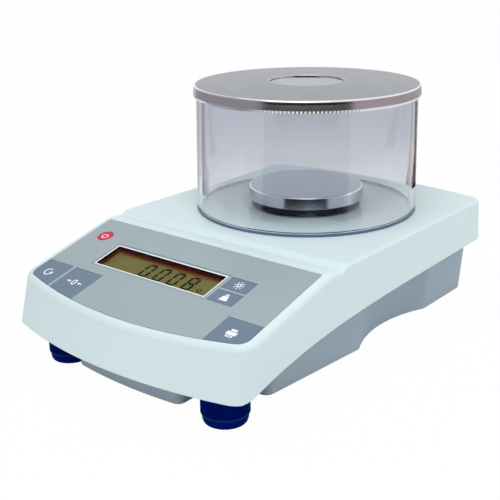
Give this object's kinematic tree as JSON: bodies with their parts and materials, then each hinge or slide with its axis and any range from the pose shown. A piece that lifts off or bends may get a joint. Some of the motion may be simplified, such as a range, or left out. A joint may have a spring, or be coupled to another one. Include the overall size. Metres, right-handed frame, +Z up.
{
  "type": "electronic balance",
  "caption": "Electronic balance with a sloping key panel and display, a round weighing pan under a round glass draft shield with a steel lid, and levelling feet.",
  "frame": {"origin": "on the table under the middle of the case", "axes": "+X to the balance's right as seen by its user, +Y to the rear, +Z up; the control panel faces -Y"},
  "size_m": [0.215, 0.337, 0.185],
  "materials": {
    "shell_white": "satin moulded plastic",
    "base_grey": "matte moulded plastic",
    "overlay_grey": "fine-textured film",
    "key_slate": "fine-textured film",
    "key_red": "gloss",
    "frame_white": "satin",
    "clear": "clear, polished",
    "lcd_olive": "satin liquid-crystal glass",
    "board_green": "solder mask",
    "black_plastic": "matte",
    "knob_navy": "satin, finely ribbed",
    "rubber": "matte",
    "steel": "fine brushed",
    "polished_steel": "polished",
    "aluminium": "milled",
    "brass": "turned"
  },
  "bodies": {
    "case": {"upper_housing": "shell_white", "lower_housing": "base_grey", "case_screw_1": "steel", "case_screw_2": "steel", "case_screw_3": "steel", "case_screw_4": "steel", "panel_overlay": "overlay_grey", "display_bezel": "frame_white", "display_window": "clear", "lcd_panel": "lcd_olive", "display_board": "board_green", "display_board_screw_1": "steel", "display_board_screw_2": "steel", "power_switch": "black_plastic", "mode_switch": "black_plastic", "tare_switch": "black_plastic", "print_switch": "black_plastic", "backlight_switch": "black_plastic", "calibrate_switch": "black_plastic", "front_left_foot_insert": "brass", "front_right_foot_insert": "brass", "rear_left_foot": "rubber", "rear_right_foot": "rubber", "chassis_plate": "aluminium", "chassis_screw_1": "steel", "chassis_screw_2": "steel", "chassis_screw_3": "steel", "load_cell": "aluminium", "load_cell_screw_1": "steel", "load_cell_screw_2": "steel", "overload_stop_screw": "steel", "load_cell_lead": "black_plastic", "main_board": "board_green", "main_board_screw_1": "steel", "main_board_screw_2": "steel", "amplifier_shield_can": "steel", "power_inlet": "black_plastic", "serial_port": "steel", "display_ribbon": "frame_white", "shield_floor": "clear"},
    "power_key": {"power_key": "key_red"},
    "mode_key": {"mode_key": "key_slate"},
    "tare_key": {"tare_key": "key_slate"},
    "print_key": {"print_key": "key_slate"},
    "backlight_key": {"backlight_key": "key_slate"},
    "calibrate_key": {"calibrate_key": "key_slate"},
    "pan_carrier": {"carrier_arm": "aluminium", "carrier_screw_1": "steel", "carrier_screw_2": "steel", "pan_post": "steel"},
    "pan_support": {"pan_support": "polished_steel"},
    "weighing_pan": {"weighing_pan": "steel"},
    "shield_glass": {"shield_glass": "clear"},
    "shield_lid": {"shield_lid": "steel"},
    "front_left_pad": {"front_left_foot_pad": "rubber"},
    "front_left_knob": {"front_left_foot_knob": "knob_navy", "front_left_foot_stud": "steel"},
    "front_right_pad": {"front_right_foot_pad": "rubber"},
    "front_right_knob": {"front_right_foot_knob": "knob_navy", "front_right_foot_stud": "steel"}
  },
  "joints": [
    {"name": "power_key_press", "type": "slide", "parent": "case", "child": "power_key", "axis": [0, 0.2538, -0.9673], "range_m": [0, 0.0004], "stiffness_N_per_m": 4000},
    {"name": "mode_key_press", "type": "slide", "parent": "case", "child": "mode_key", "axis": [0, 0.2538, -0.9673], "range_m": [0, 0.0004], "stiffness_N_per_m": 4000},
    {"name": "tare_key_press", "type": "slide", "parent": "case", "child": "tare_key", "axis": [0, 0.2538, -0.9673], "range_m": [0, 0.0004], "stiffness_N_per_m": 4000},
    {"name": "print_key_press", "type": "slide", "parent": "case", "child": "print_key", "axis": [0, 0.2538, -0.9673], "range_m": [0, 0.0004], "stiffness_N_per_m": 4000},
    {"name": "backlight_key_press", "type": "slide", "parent": "case", "child": "backlight_key", "axis": [0, 0.2538, -0.9673], "range_m": [0, 0.0004], "stiffness_N_per_m": 4000},
    {"name": "calibrate_key_press", "type": "slide", "parent": "case", "child": "calibrate_key", "axis": [0, 0.2538, -0.9673], "range_m": [0, 0.0004], "stiffness_N_per_m": 4000},
    {"name": "pan_load", "type": "slide", "parent": "case", "child": "pan_carrier", "axis": [0, 0, 1], "range_m": [-0.0004, 0], "stiffness_N_per_m": 15000, "springref_m": 0.0003},
    {"name": "pan_support_lift", "type": "slide", "parent": "pan_carrier", "child": "pan_support", "axis": [0, 0, 1], "range_m": [0, 0.03]},
    {"name": "pan_lift", "type": "slide", "parent": "pan_support", "child": "weighing_pan", "axis": [0, 0, 1], "range_m": [0, 0.04]},
    {"name": "shield_lift", "type": "slide", "parent": "case", "child": "shield_glass", "axis": [0, 0, 1], "range_m": [0, 0.1]},
    {"name": "lid_lift", "type": "slide", "parent": "shield_glass", "child": "shield_lid", "axis": [0, 0, 1], "range_m": [0, 0.06]},
    {"name": "front_left_foot_height", "type": "slide", "parent": "case", "child": "front_left_pad", "axis": [0, 0, 1], "range_m": [-0.005, 0.005]},
    {"name": "front_left_foot_turn", "type": "hinge", "parent": "front_left_pad", "child": "front_left_knob", "pos_m": [-0.0745, -0.1313, 0.01], "axis": [0, 0, 1], "range_deg": [-1440, 1440]},
    {"name": "front_right_foot_height", "type": "slide", "parent": "case", "child": "front_right_pad", "axis": [0, 0, 1], "range_m": [-0.005, 0.005]},
    {"name": "front_right_foot_turn", "type": "hinge", "parent": "front_right_pad", "child": "front_right_knob", "pos_m": [0.0745, -0.1313, 0.01], "axis": [0, 0, 1], "range_deg": [-1440, 1440]}
  ],
  "couplings": [
    {"joint": "front_left_foot_height", "follows": "front_left_foot_turn", "m_per_rad": 0.0001989},
    {"joint": "front_right_foot_height", "follows": "front_right_foot_turn", "m_per_rad": 0.0001989}
  ]
}
